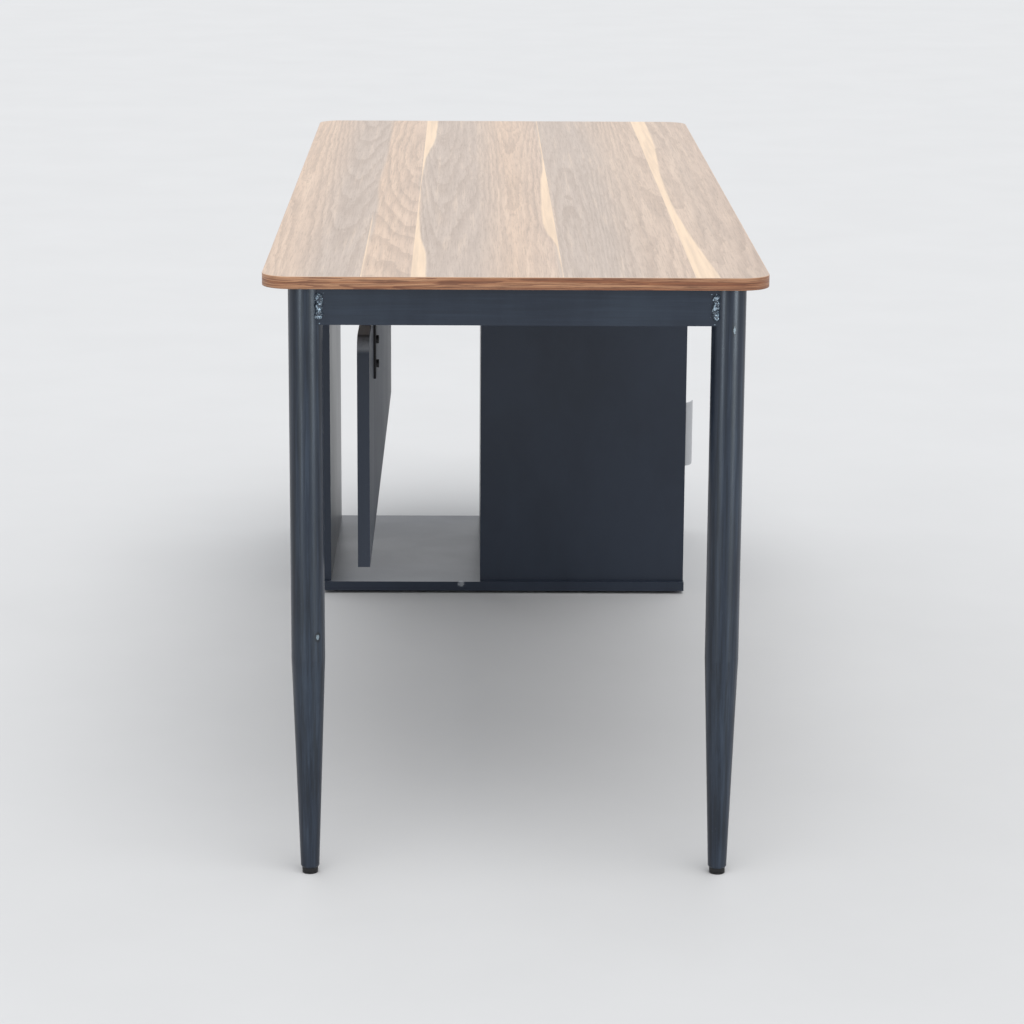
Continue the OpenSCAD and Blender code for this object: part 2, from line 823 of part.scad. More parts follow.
module door_pull() {
    back = door_x0 - pull_t;
    color(pull_metal) in_frame() difference() {
        union() {
            box([back, door_y0 - pull_t, pull_z0],
                [door_x0, door_y0 + pull_flange, pull_z0 + pull_h]);
            box([back, door_y0 - pull_t, pull_z0],
                [box_x1 + 1.5 * pull_t, door_y0, pull_z0 + pull_h]);
            intersection() {
                translate([0, 0, pull_z0]) linear_extrude(pull_h) polygon(lip_outline);
                translate([box_x1 - over, 0, 0]) rotate([90, 0, 90])
                    linear_extrude(pull_reach + 2 * over) lip_side_outline();
            }
        }
        for (z = pull_screw_z)
            rod_x([back - over, pull_screw_y, z], wood_screw_r + fit, pull_t + 2 * over);
    }
}

module door_pull_screws() {
    back = door_x0 - pull_t;
    color(zinc) in_frame() for (z = pull_screw_z) {
        rod_x([back - pull_head_h, pull_screw_y, z], pull_head_r, pull_head_h);
        rod_x([back - pull_head_h / 2, pull_screw_y, z], wood_screw_r,
            pull_head_h / 2 + pull_t + wood_screw_bite - fit);
    }
}

// ---- hinges ----

// Barrel pieces of one hinge: the case leaf has the two outer ones, the door leaf the middle
module barrel(z, i) {
    translate([hinge_x, hinge_y, z - hinge_h / 2 + i * knuckle_h + knuckle_gap])
        cylinder(r = knuckle_r, h = knuckle_h - 2 * knuckle_gap);
}

// One leaf: a plate from x0 to the barrel, its barrel pieces, and its screw holes
module leaf(z, x0, y0, screw_x, knuckles) {
    difference() {
        union() {
            box([x0, y0, z - hinge_h / 2], [box_x1 - knuckle_gap, y0 + hinge_t, z + hinge_h / 2]);
            for (i = knuckles) {
                barrel(z, i);
                box([box_x1 - over, y0, z - hinge_h / 2 + i * knuckle_h + knuckle_gap],
                    [hinge_x, y0 + hinge_t, z - hinge_h / 2 + (i + 1) * knuckle_h - knuckle_gap]);
            }
        }
        translate([hinge_x, hinge_y, z - hinge_h])
            cylinder(r = pin_hinge_r + fit, h = 2 * hinge_h);
        for (dz = hinge_screw_dz)
            rod_y([screw_x, y0 - over, z + dz], hinge_head_r + fit, hinge_t + 2 * over);
    }
}

module hinge_case_leaf(z) {
    color(zinc) in_frame() leaf(z, case_leaf_x, in_y1 - hinge_t, case_screw_x, [0, 2]);
}

module hinge_door_leaf(z) {
    color(zinc) in_frame() leaf(z, door_leaf_x, door_y1, door_screw_x, [1]);
}

module hinge_pin(z) {
    color(zinc) in_frame() translate([hinge_x, hinge_y, z - hinge_h / 2 - pin_head_h]) {
        cylinder(r = pin_hinge_r, h = hinge_h + 2 * pin_head_h);
        cylinder(r = pin_head_r, h = pin_head_h);
        translate([0, 0, hinge_h + pin_head_h]) cylinder(r = pin_head_r, h = pin_head_h);
    }
}

module hinge_case_screws() {
    color(zinc) in_frame() for (z = hinge_zs, dz = hinge_screw_dz) {
        rod_y([case_screw_x, in_y1 - hinge_t + head_play, z + dz], hinge_head_r,
            hinge_t - head_play);
        rod_y([case_screw_x, in_y1 - head_play, z + dz], wood_screw_r, hinge_screw_len);
    }
}

module hinge_door_screws() {
    color(zinc) in_frame() for (z = hinge_zs, dz = hinge_screw_dz) {
        rod_y([door_screw_x, door_y1, z + dz], hinge_head_r, hinge_t - head_play);
        rod_y([door_screw_x, door_y1 + head_play - hinge_screw_len, z + dz],
            wood_screw_r, hinge_screw_len);
    }
}

// ---- drawing ----

desktop_board();
desktop_edge_band();
desktop_inserts();
desktop_screws();
leg_tube(-1);  // leg_tube_left
leg_tube(1);  // leg_tube_right
leg_top_plate(-1);  // leg_top_plate_left
leg_top_plate(1);  // leg_top_plate_right
foot_plug(-1);  // foot_plug_left
foot_plug(1);  // foot_plug_right
foot_stem(-1);  // foot_stem_left
foot_stem(1);  // foot_stem_right
foot_pad(-1);  // foot_pad_left
foot_pad(1);  // foot_pad_right
end_crossbar();
weld_beads(-1);  // weld_beads_left
weld_beads(1);  // weld_beads_right
side_rail(-1);  // side_rail_left
side_rail(1);  // side_rail_right
rail_end_plates();
rail_end_bolts();
rail_end_caps();
mid_brace();
far_crossbar();
fixing_plates();
rail_nuts();
cabinet_bolts();
modesty_panel();
strap_bracket(strap_ys[0]);  // strap_bracket_near
strap_bracket(strap_ys[1]);  // strap_bracket_far
strap_bolts();
cabinet_bottom();
cabinet_top();
visitor_side_panel();
box_near_side();
box_far_side();
box_back();
box_divider();
cabinet_glides();
cabinet_screws();
cam_locks();
cam_bolts();
dowels();
adjustable_shelf();
shelf_pins();
door();
door_pull();
door_pull_screws();
hinge_case_leaf(hinge_zs[1]);  // upper_hinge_case_leaf
hinge_door_leaf(hinge_zs[1]);  // upper_hinge_door_leaf
hinge_pin(hinge_zs[1]);  // upper_hinge_pin
hinge_case_leaf(hinge_zs[0]);  // lower_hinge_case_leaf
hinge_door_leaf(hinge_zs[0]);  // lower_hinge_door_leaf
hinge_pin(hinge_zs[0]);  // lower_hinge_pin
hinge_case_screws();
hinge_door_screws();
magnet_catch();
catch_strike();
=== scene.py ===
"""Office desk with a side cabinet: materials, eased edges, fasteners, weld beads, studio and camera."""

import json
import math

import bmesh
import bpy
import numpy as np
from mathutils import Matrix, Vector, noise

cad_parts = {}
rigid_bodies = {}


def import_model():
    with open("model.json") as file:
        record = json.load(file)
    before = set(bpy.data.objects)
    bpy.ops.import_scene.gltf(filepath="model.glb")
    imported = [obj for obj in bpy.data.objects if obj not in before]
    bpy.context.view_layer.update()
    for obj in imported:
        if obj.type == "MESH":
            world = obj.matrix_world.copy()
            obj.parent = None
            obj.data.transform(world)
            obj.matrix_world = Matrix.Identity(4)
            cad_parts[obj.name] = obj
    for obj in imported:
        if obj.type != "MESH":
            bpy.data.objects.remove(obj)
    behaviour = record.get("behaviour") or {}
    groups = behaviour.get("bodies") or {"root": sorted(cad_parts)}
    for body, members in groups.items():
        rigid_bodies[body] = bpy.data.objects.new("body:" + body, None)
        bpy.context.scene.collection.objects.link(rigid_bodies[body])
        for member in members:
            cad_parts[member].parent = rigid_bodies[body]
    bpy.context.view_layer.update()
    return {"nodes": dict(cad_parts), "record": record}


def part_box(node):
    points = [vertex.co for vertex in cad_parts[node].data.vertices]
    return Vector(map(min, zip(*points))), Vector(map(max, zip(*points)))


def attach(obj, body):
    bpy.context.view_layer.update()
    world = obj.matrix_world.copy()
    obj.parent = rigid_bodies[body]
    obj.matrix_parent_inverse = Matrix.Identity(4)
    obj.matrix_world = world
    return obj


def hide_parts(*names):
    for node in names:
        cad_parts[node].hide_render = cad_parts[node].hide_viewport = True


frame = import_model()

MM = 0.001
TAU = math.tau

# Widths of the eased edges
BOARD_EDGE = 1.0 * MM
TUBE_EDGE = 1.2 * MM
PLATE_EDGE = 0.35 * MM

THREAD_PITCH = 1.0 * MM
BOARD_CORNER_RADIUS = 35 * MM

board_low, board_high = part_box("desktop_board")
band_low, band_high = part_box("desktop_edge_band")


# ---- mesh building ----

def piece(name, bm, body, slot, *nodes):
    """Makes a finished piece from a bmesh. It rides on a body and stands for the CAD nodes."""
    bmesh.ops.recalc_face_normals(bm, faces=bm.faces)
    mesh = bpy.data.meshes.new(name)
    bm.to_mesh(mesh)
    bm.free()
    obj = bpy.data.objects.new(name, mesh)
    bpy.context.scene.collection.objects.link(obj)
    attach(obj, body)
    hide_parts(*nodes)
    finish(obj, slot)
    return obj


def smooth(obj, degrees=35):
    """Smooth shading, with edges sharper than the angle kept crisp."""
    obj.data.polygons.foreach_set("use_smooth", [True] * len(obj.data.polygons))
    obj.data.set_sharp_from_angle(angle=math.radians(degrees))


def loft(bm, rings, closed=False):
    """Joins rings of points, each a list of the same length, and caps the two ends or closes the loop."""
    loops = [[bm.verts.new(p) for p in ring] for ring in rings]
    count = len(loops[0])
    pairs = list(zip(loops, loops[1:]))
    if closed:
        pairs.append((loops[-1], loops[0]))
    for low, high in pairs:
        for i in range(count):
            j = (i + 1) % count
            bm.faces.new((low[i], low[j], high[j], high[i]))
    if not closed:
        bm.faces.new(list(reversed(loops[0])))
        bm.faces.new(loops[-1])


def turned(bm, profile, place, steps=40):
    """A turned shape along its own +Z. Each profile point is (radius, height), and a radius may be a
    function of the angle, for a hexagon, a cross or flutes. place puts the shape in the row frame."""
    angles = [TAU * i / steps for i in range(steps)]
    rings = []
    for radius, height in profile:
        at = radius if callable(radius) else (lambda a, r=radius: r)
        rings.append([place @ Vector((at(a) * math.cos(a), at(a) * math.sin(a), height)) for a in angles])
    loft(bm, rings)


def hexagon(across):
    """Radius of a hexagon of that width across its flats, as a function of the angle."""
    return lambda a: across / 2 / math.cos((a + TAU / 12) % (TAU / 6) - TAU / 12)


def cross(reach, half):
    """Radius of a cross recess with arms of that reach and half width, as a function of the angle."""
    return lambda a: min(reach, half / max(min(abs(math.sin(a)), abs(math.cos(a))), 1e-6))


def fluted(radius, depth, count):
    """Radius of a rim with shallow grip flutes, as a function of the angle."""
    return lambda a: radius - depth * (0.5 - 0.5 * math.cos(count * a)) ** 3


def rounded_rectangle(centre, half_x, half_y, radius, inset, steps=20):
    """Plan outline of a rectangle with round corners, moved in by the inset, as (x, y) points."""
    r = radius - inset
    points = []
    for quarter, (sx, sy) in enumerate(((1, 1), (-1, 1), (-1, -1), (1, -1))):
        cx, cy = centre[0] + sx * (half_x - radius), centre[1] + sy * (half_y - radius)
        for i in range(steps + 1):
            a = TAU / 4 * (quarter + i / steps)
            points.append((cx + r * math.cos(a), cy + r * math.sin(a)))
    return points


def solids(node):
    """The separate solids of a CAD node, each as an array of its vertices in the row frame."""
    mesh = frame["nodes"][node].data
    co = np.array([v.co for v in mesh.vertices])
    _, weld = np.unique(np.round(co, 6), axis=0, return_inverse=True)
    weld = weld.ravel()
    group = list(range(weld.max() + 1))

    def root(i):
        while group[i] != i:
            group[i] = group[group[i]]
            i = group[i]
        return i

    for face in mesh.polygons:
        first = root(weld[face.vertices[0]])
        for v in face.vertices[1:]:
            group[root(weld[v])] = first
    roots = np.array([root(w) for w in weld])
    return [co[roots == r] for r in sorted(set(roots))]


def shank(points, axis):
    """Reads a headed fastener along an axis, 0 for X to 2 for Z: its place with +Z out of the head and the
    origin at the head's outer end, its head radius, head height, shank radius and whole length."""
    low, high = points.min(0), points.max(0)
    centre = (low + high) / 2
    others = [i for i in range(3) if i != axis]
    radius = np.linalg.norm(points[:, others] - centre[others], axis=1)
    wide = points[radius > 0.95 * radius.max()][:, axis]
    at_high = wide.mean() > centre[axis]
    thin = radius[np.abs(points[:, axis] - (low if at_high else high)[axis]) < 0.01 * MM].max()
    out = Vector((0, 0, 0))
    out[axis] = 1 if at_high else -1
    end = Vector(centre)
    end[axis] = high[axis] if at_high else low[axis]
    place = Matrix.Translation(end) @ out.to_track_quat("Z", "Y").to_matrix().to_4x4()
    return place, radius.max(), np.ptp(wide), thin, high[axis] - low[axis]


def fastener(bm, points, axis, head):
    """A screw or bolt in place of a CAD fastener: its own head, and a shank with thread grooves."""
    place, head_r, head_h, shank_r, length = shank(points, axis)
    point_end = -length + 0.4 * shank_r
    profile = [(0.7 * shank_r, -length), (shank_r, point_end)]
    for i in range(int((length - head_h) / THREAD_PITCH) - 1):
        z = point_end + (i + 0.5) * THREAD_PITCH
        if z + THREAD_PITCH < -head_h:
            profile += [(0.86 * shank_r, z), (shank_r, z + THREAD_PITCH / 2)]
    profile.append((shank_r, -head_h))
    turned(bm, profile + head(head_r, head_h), place, steps=36)


def cap_head(r, h):
    """Round head with eased rims and a hexagon socket."""
    ease = 0.12 * r
    socket = hexagon(1.0 * r)
    return [(r, -h), (r, -ease), (r - ease * 0.3, -ease * 0.3), (r - ease, 0), (0.62 * r, 0),
            (socket, -0.1 * h), (socket, -0.55 * h), (0.2 * r, -0.68 * h)]


def pan_head(r, h):
    """Low domed head with a cross recess."""
    recess = cross(0.55 * r, 0.13 * r)
    return [(r, -h), (r, -0.72 * h), (0.93 * r, -0.4 * h), (0.75 * r, -0.14 * h), (0.6 * r, 0),
            (recess, -0.02 * h), (recess, -0.5 * h), (0.05 * r, -0.62 * h)]


def flat_head(r, h):
    """Countersunk head with a cross recess, flush on top."""
    recess = cross(0.6 * r, 0.15 * r)
    return [(0.6 * r, -h), (r, -0.25 * h), (r, -0.08 * h), (0.95 * r, 0), (0.66 * r, 0),
            (recess, -0.05 * h), (recess, -0.6 * h), (0.05 * r, -0.7 * h)]


def hex_head(r, h):
    """Hexagon head with a chamfered round face."""
    flats = hexagon(2 * r * math.cos(TAU / 12))
    return [(flats, -h), (flats, -0.16 * h), (lambda a: min(flats(a), 0.93 * r) * 0.985, -0.05 * h),
            (0.8 * r, 0), (0.45 * r, -0.01 * h), (0.2 * r, 0)]


def fasteners(name, node, axis, body, slot, head):
    """Replaces a CAD group of fasteners by detailed ones in the same places."""
    bm = bmesh.new()
    for points in solids(node):
        fastener(bm, points, axis, head)
    smooth(piece(name, bm, body, slot, node), 30)


def disc_place(points, axis, sign):
    """Reads a plain disc: a place with its origin on the face at that side and +Z out of it, its radius
    and its depth."""
    low, high = points.min(0), points.max(0)
    centre = Vector((low + high) / 2)
    centre[axis] = (high if sign > 0 else low)[axis]
    out = Vector((0, 0, 0))
    out[axis] = sign
    radius = (high - low)[(axis + 1) % 3] / 2
    place = Matrix.Translation(centre) @ out.to_track_quat("Z", "Y").to_matrix().to_4x4()
    return place, radius, (high - low)[axis]


def eased(node, width, segments):
    """Rounds the edges of a CAD node with modifiers, which leave its own mesh alone."""
    obj = frame["nodes"][node]
    weld = obj.modifiers.new("weld", "WELD")
    weld.merge_threshold = 0.002 * MM
    flat = obj.modifiers.new("flat_faces", "DECIMATE")
    flat.decimate_type = "DISSOLVE"
    flat.angle_limit = math.radians(0.3)
    bevel = obj.modifiers.new("eased_edges", "BEVEL")
    bevel.width = width
    bevel.segments = segments
    bevel.limit_method = "ANGLE"
    bevel.angle_limit = math.radians(40)
    bevel.use_clamp_overlap = True
    shade = obj.modifiers.new("flat_shading", "WEIGHTED_NORMAL")
    shade.mode, shade.weight = "FACE_AREA", 50


# ---- materials ----

class Paint:
    """One material's node tree, with short calls for the nodes that it uses."""

    def __init__(self, name):
        self.material = bpy.data.materials.new(name)
        self.material.use_nodes = True
        self.nodes = self.material.node_tree.nodes
        self.links = self.material.node_tree.links
        self.shader = self.nodes["Principled BSDF"]
        self.place = self.nodes.new("ShaderNodeTexCoord").outputs["Object"]

    def put(self, socket, value):
        """Links a socket into another one, or sets its constant."""
        if isinstance(value, bpy.types.NodeSocket):
            self.links.new(value, socket)
        elif isinstance(value, tuple) and len(value) == 3 and socket.type == "RGBA":
            socket.default_value = (*value, 1)
        else:
            socket.default_value = value

    def set(self, **values):
        """Sets the shader's own sockets: base_color=..., roughness=... and so on."""
        for name, value in values.items():
            self.put(self.shader.inputs[name.replace("_", " ").title().replace("Ior", "IOR")], value)

    def node(self, kind, output=0, **settings):
        """Adds a node and returns one output. in_NAME or in_NUMBER feeds the input of that name."""
        made = self.nodes.new(kind)
        for name, value in settings.items():
            if name.startswith("in_"):
                key = name[3:]
                self.put(made.inputs[int(key) if key.isdigit() else key], value)
            else:
                setattr(made, name, value)
        return made.outputs[output]

    def scaled(self, x=1, y=1, z=1, of=None):
        """The place, or another vector, stretched along the axes."""
        vector = self.place if of is None else of
        return self.node("ShaderNodeMapping", in_Vector=vector, in_Scale=(x, y, z))

    def axis(self, name, of=None):
        """X, Y or Z of the place, or of another vector."""
        split = self.nodes.new("ShaderNodeSeparateXYZ")
        self.put(split.inputs[0], self.place if of is None else of)
        return split.outputs["XYZ".index(name)]

    def noise(self, vector, scale=1, detail=2, rough=0.5, distort=0):
        return self.node("ShaderNodeTexNoise", in_Vector=vector, in_Scale=scale, in_Detail=detail,
                         in_Roughness=rough, in_Distortion=distort)

    def cells(self, vector, scale=1):
        return self.node("ShaderNodeTexVoronoi", in_Vector=vector, in_Scale=scale)

    def calc(self, operation, a, b=0.0, c=0.0, clamp=False):
        """One step of arithmetic."""
        made = self.nodes.new("ShaderNodeMath")
        made.operation, made.use_clamp = operation, clamp
        for socket, value in zip(made.inputs, (a, b, c)):
            self.put(socket, value)
        return made.outputs[0]

    def spread(self, value, low, high, to_low=0.0, to_high=1.0):
        """Maps a value from one range to another with soft ends, and holds it there."""
        return self.node("ShaderNodeMapRange", interpolation_type="SMOOTHSTEP", in_Value=value, in_1=low,
                         in_2=high, in_3=to_low, in_4=to_high)

    def mix(self, share, a, b):
        """Colour a where share is 0, and b where it is 1."""
        made = self.nodes.new("ShaderNodeMix")
        made.data_type = "RGBA"
        self.put(made.inputs[0], share)
        self.put(made.inputs[6], a)
        self.put(made.inputs[7], b)
        return made.outputs[2]

    def ramp(self, value, *stops):
        """Colour by value. Each stop is (position, colour)."""
        made = self.nodes.new("ShaderNodeValToRGB")
        self.put(made.inputs[0], value)
        marks = made.color_ramp.elements
        while len(marks) < len(stops):
            marks.new(0.5)
        for mark, (position, colour) in zip(marks, stops):
            mark.position, mark.color = position, (*colour, 1)
        return made.outputs[0]

    def curve(self, value, *points):
        """A smooth curve through (position, value) points, both from 0 to 1."""
        made = self.nodes.new("ShaderNodeFloatCurve")
        self.put(made.inputs["Value"], value)
        line = made.mapping.curves[0]
        while len(line.points) < len(points):
            line.points.new(0.5, 0.5)
        for spot, (position, height) in zip(line.points, points):
            spot.location = (position, height)
        made.mapping.update()
        return made.outputs[0]

    def bump(self, height, distance, strength=1.0):
        made = self.nodes.new("ShaderNodeBump")
        made.inputs["Strength"].default_value = strength
        made.inputs["Distance"].default_value = distance
        self.put(made.inputs["Height"], height)
        return made.outputs[0]

    def spot(self, centre, reach, ragged, scale=900, tall=1.0):
        """A ragged mark round one point: 1 inside, 0 outside. tall stretches it along Z."""
        from_centre = self.node("ShaderNodeVectorMath", operation="SUBTRACT", in_0=self.place, in_1=centre)
        away = self.node("ShaderNodeVectorMath", output=1, operation="LENGTH",
                         in_0=self.scaled(1, 1, 1 / tall, of=from_centre))
        torn = self.noise(self.place, scale, 3, 0.7)
        edge = self.calc("MULTIPLY_ADD", self.calc("SUBTRACT", torn, 0.5), ragged, away)
        return self.spread(edge, reach, reach * 0.6)


# Plank joints of the board's print, as distances from its left edge
PLANK_JOINTS = (117 * MM, 176 * MM, 356 * MM, 511 * MM)


def walnut_laminate():
    """Printed walnut planks along the desk, with pale sapwood streaks at the plank joints."""
    p = Paint("walnut_laminate")
    width, length = band_high.x - band_low.x, band_high.y - band_low.y
    across = p.calc("SUBTRACT", p.axis("X"), band_low.x)
    along = p.calc("DIVIDE", p.calc("SUBTRACT", p.axis("Y"), band_low.y), length, clamp=True)
    share = p.calc("DIVIDE", across, width, clamp=True)

    # Each plank takes its grain from another place in the noise
    plank = 0.0
    for joint in PLANK_JOINTS:
        plank = p.calc("ADD", plank, p.calc("GREATER_THAN", across, joint))
    apart = p.node("ShaderNodeCombineXYZ", in_X=p.calc("MULTIPLY", plank, 0.613), in_Y=plank,
                   in_Z=p.calc("MULTIPLY", plank, 1.37))
    cut = p.node("ShaderNodeVectorMath", operation="ADD", in_0=p.place, in_1=apart)

    sway = p.noise(p.scaled(3, 1.1, 1), 1, 2, 0.5)
    swayed = p.calc("MULTIPLY_ADD", p.calc("SUBTRACT", sway, 0.5), 0.06, share)
    warm, grey, mid = (0.600, 0.435, 0.315), (0.475, 0.380, 0.312), (0.535, 0.408, 0.315)
    heart = p.ramp(swayed, (0.0, warm), (0.07, (0.55, 0.41, 0.31)), (0.12, grey), (0.193, grey),
                   (0.200, warm), (0.29, (0.57, 0.42, 0.315)), (0.30, grey), (0.42, (0.48, 0.38, 0.31)),
                   (0.50, warm), (0.585, (0.55, 0.41, 0.315)), (0.597, grey), (0.70, (0.465, 0.375, 0.31)),
                   (0.77, mid), (0.85, (0.57, 0.425, 0.32)), (0.92, mid), (1.0, (0.49, 0.365, 0.28)))

    # Growth rings are contour lines of a long stretched noise: a slow rise to dark, then a clean edge
    wave = p.noise(p.scaled(30, 9, 30, of=cut), 1, 4, 0.6)
    field = p.noise(p.scaled(6, 0.24, 6, of=cut), 1, 1, 0.4, 0.1)
    rise = p.calc("FRACT", p.calc("MULTIPLY", p.calc("MULTIPLY_ADD", wave, 0.028, field), 50))
    rings = p.calc("MULTIPLY", p.spread(rise, 0.25, 0.92), p.spread(rise, 1.0, 0.93))
    shown = p.spread(p.noise(p.scaled(9, 1.3, 9, of=cut), 1, 2, 0.5), 0.28, 0.54, 0.2, 1.0)
    broad = p.noise(p.scaled(150, 4, 150, of=cut), 1, 3, 0.55)
    fine = p.noise(p.scaled(620, 16, 620, of=cut), 1, 4, 0.65)
    pores = p.spread(p.noise(p.scaled(1700, 45, 1700, of=cut), 1, 2, 0.5), 0.62, 0.72)

    tone = p.mix(p.calc("MULTIPLY", p.calc("MULTIPLY", rings, shown), 0.38), heart, (0.29, 0.205, 0.15))
    tone = p.mix(p.spread(broad, 0.42, 0.68, 0.0, 0.30), tone, (0.32, 0.245, 0.195))
    tone = p.mix(p.spread(broad, 0.45, 0.3, 0.0, 0.26), tone, (0.72, 0.56, 0.42))
    tone = p.mix(p.spread(fine, 0.46, 0.72, 0.0, 0.46), tone, (0.27, 0.20, 0.155))
    tone = p.mix(p.calc("MULTIPLY", pores, 0.30), tone, (0.16, 0.115, 0.09))

    # Each streak: its straight side, +1 or -1 for the way it widens, its widest width, and its share
    # of that width along the board, from the leg end to the cabinet end
    streaks = (
        (PLANK_JOINTS[1], 1, 19 * MM, ((0, 1.0), (0.08, 0.95), (0.2, 0.45), (0.32, 0.2), (0.45, 0.1),
                                       (0.62, 0.16), (0.75, 0.5), (0.86, 0.9), (1, 1.0))),
        (PLANK_JOINTS[2], -1, 16 * MM, ((0, 0.12), (0.14, 0.22), (0.22, 0.8), (0.3, 1.0), (0.42, 0.85),
                                        (0.55, 0.6), (0.66, 0.22), (0.85, 0.16), (1, 0.16))),
        (PLANK_JOINTS[3], 1, 30 * MM, ((0, 1.0), (0.1, 0.78), (0.24, 0.5), (0.4, 0.34), (0.55, 0.38),
                                       (0.7, 0.6), (0.8, 0.75), (0.9, 0.8), (1, 0.82))),
        (PLANK_JOINTS[0], 1, 4 * MM, ((0, 0.7), (0.12, 0.8), (0.25, 0.6), (0.32, 0.3), (0.38, 0.0),
                                      (0.6, 0.0), (1, 0.0))),
    )
    wobble = p.calc("MULTIPLY", p.calc("SUBTRACT", p.noise(p.scaled(1, 14, 1), 1, 3, 0.6), 0.5), 4 * MM)
    sap = 0.0
    for side, way, widest, widths in streaks:
        reach = p.calc("MULTIPLY", p.curve(along, *widths), widest)
        away = p.calc("MULTIPLY", p.calc("SUBTRACT", across, side), way)
        inside = p.spread(away, -0.4 * MM, 0.4 * MM)
        short = p.calc("SUBTRACT", p.calc("MULTIPLY_ADD", wobble, 0.5, reach), away)
        sap = p.calc("MAXIMUM", sap, p.calc("MULTIPLY", inside, p.spread(short, -0.6 * MM, 3.0 * MM)))
    cream = p.mix(p.spread(broad, 0.35, 0.7), (0.79, 0.59, 0.40), (0.67, 0.50, 0.345))
    tone = p.mix(p.calc("MULTIPLY", sap, 0.9), tone, cream)

    facing = p.node("ShaderNodeNewGeometry", output="Normal")
    under = p.spread(p.axis("Z", facing), 0.0, -0.5)
    backing = p.mix(p.spread(fine, 0.35, 0.75, 0.0, 0.5), (0.30, 0.225, 0.175), (0.22, 0.16, 0.12))
    p.set(base_color=p.mix(under, tone, backing),
          roughness=p.spread(p.calc("ADD", fine, pores), 0.3, 1.4, 0.42, 0.56),
          specular_ior_level=0.5,
          normal=p.bump(p.calc("MULTIPLY_ADD", pores, -1.0, p.calc("MULTIPLY", fine, 0.5)), 0.06 * MM, 0.6))
    return p.material


def walnut_edging():
    """Brown walnut-print edge band, its grain running round the board, with a painted highlight on its
    upper arris.
    """
    p = Paint("walnut_edging")
    wave = p.noise(p.scaled(14, 14, 60), 1, 4, 0.6)
    field = p.noise(p.scaled(2.4, 2.4, 90), 1, 2, 0.5)
    rise = p.calc("FRACT", p.calc("MULTIPLY", p.calc("MULTIPLY_ADD", wave, 0.10, field), 13))
    lines = p.calc("MULTIPLY", p.spread(rise, 0.2, 0.9), p.spread(rise, 1.0, 0.92))
    broad = p.noise(p.scaled(5, 5, 330), 1, 3, 0.6)
    fine = p.noise(p.scaled(34, 34, 1300), 1, 4, 0.7)
    tone = p.mix(p.spread(broad, 0.35, 0.65), (0.320, 0.130, 0.062), (0.560, 0.300, 0.165))
    tone = p.mix(p.calc("MULTIPLY", lines, 0.6), tone, (0.135, 0.046, 0.030))
    tone = p.mix(p.spread(fine, 0.46, 0.66, 0.0, 0.62), tone, (0.095, 0.042, 0.026))
    # Where the normal faces up, on the upper arris, the band is mixed towards pale brown as a painted
    # highlight
    facing = p.nodes["Texture Coordinate"].outputs["Normal"]
    tone = p.mix(p.spread(p.axis("Z", facing), 0.25, 0.8, 0.0, 0.75), tone, (0.62, 0.46, 0.33))
    p.set(base_color=tone, roughness=p.spread(fine, 0.3, 0.8, 0.38, 0.55), specular_ior_level=0.4,
          normal=p.bump(fine, 0.08 * MM, 0.5))
    return p.material


def frame_paint(name, along, lines):
    """Satin charcoal powder coat on a tube drawn along one axis: orange peel, draw lines of a given
    strength, drifts of gloss, and on each leg a small dent drawn as a painted highlight in a ring of
    painted shade."""
    p = Paint(name)
    peel = p.noise(p.place, 1400, 2, 0.5)
    stretch = {axis: 7 if axis == along else 230 for axis in "xyz"}
    drawn = p.noise(p.scaled(**stretch), 1, 5, 0.7)
    drift = p.noise(p.scaled(16, 16, 5), 1, 4, 0.6)
    dust = p.spread(p.noise(p.place, 620, 2, 0.6), 0.69, 0.75)
    tone = p.mix(p.spread(drift, 0.3, 0.7), (0.010, 0.014, 0.023), (0.015, 0.021, 0.032))
    tone = p.mix(p.spread(drawn, 0.45, 0.62, 0.0, 0.75 * lines), tone, (0.004, 0.006, 0.010))
    tone = p.mix(p.spread(drawn, 0.47, 0.34, 0.0, 0.45 * lines), tone, (0.030, 0.040, 0.056))
    tone = p.mix(p.calc("MULTIPLY", dust, 0.4), tone, (0.06, 0.07, 0.085))
    left_low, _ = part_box("leg_tube_left")
    right_low, right_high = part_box("leg_tube_right")
    # Each dent mark: its place, its reach, how tall it is for its width, and how strong its painted
    # highlight is
    dent_marks = (((left_low.x + 33 * MM, left_low.y + 4 * MM, left_low.z + 297 * MM), 2.6 * MM, 1.4, 0.5),
             ((right_low.x + 26 * MM, right_low.y + 1 * MM, right_high.z - 49 * MM), 1.5 * MM, 3.0, 0.6))
    for centre, reach, tall, glint_strength in dent_marks:
        # Each mark is a painted highlight inside a ring of painted shade, drawn for a small dent in the
        # tube
        painted_shade_ring, painted_glint = (p.spot(centre, size, 4 * MM, tall=tall) for size in (reach * 2.2, reach))
        tone = p.mix(p.calc("MULTIPLY", painted_shade_ring, 0.8), tone, (0.004, 0.005, 0.007))
        tone = p.mix(p.calc("MULTIPLY", painted_glint, glint_strength), tone, (0.24, 0.29, 0.32))
    worn = p.spread(drawn, 0.4, 0.65, 0.0, 0.08 * lines)
    p.set(base_color=tone, roughness=p.calc("ADD", p.spread(drift, 0.3, 0.7, 0.28, 0.34), worn),
          specular_ior_level=0.36, normal=p.bump(peel, 0.05 * MM, 0.35))
    return p.material


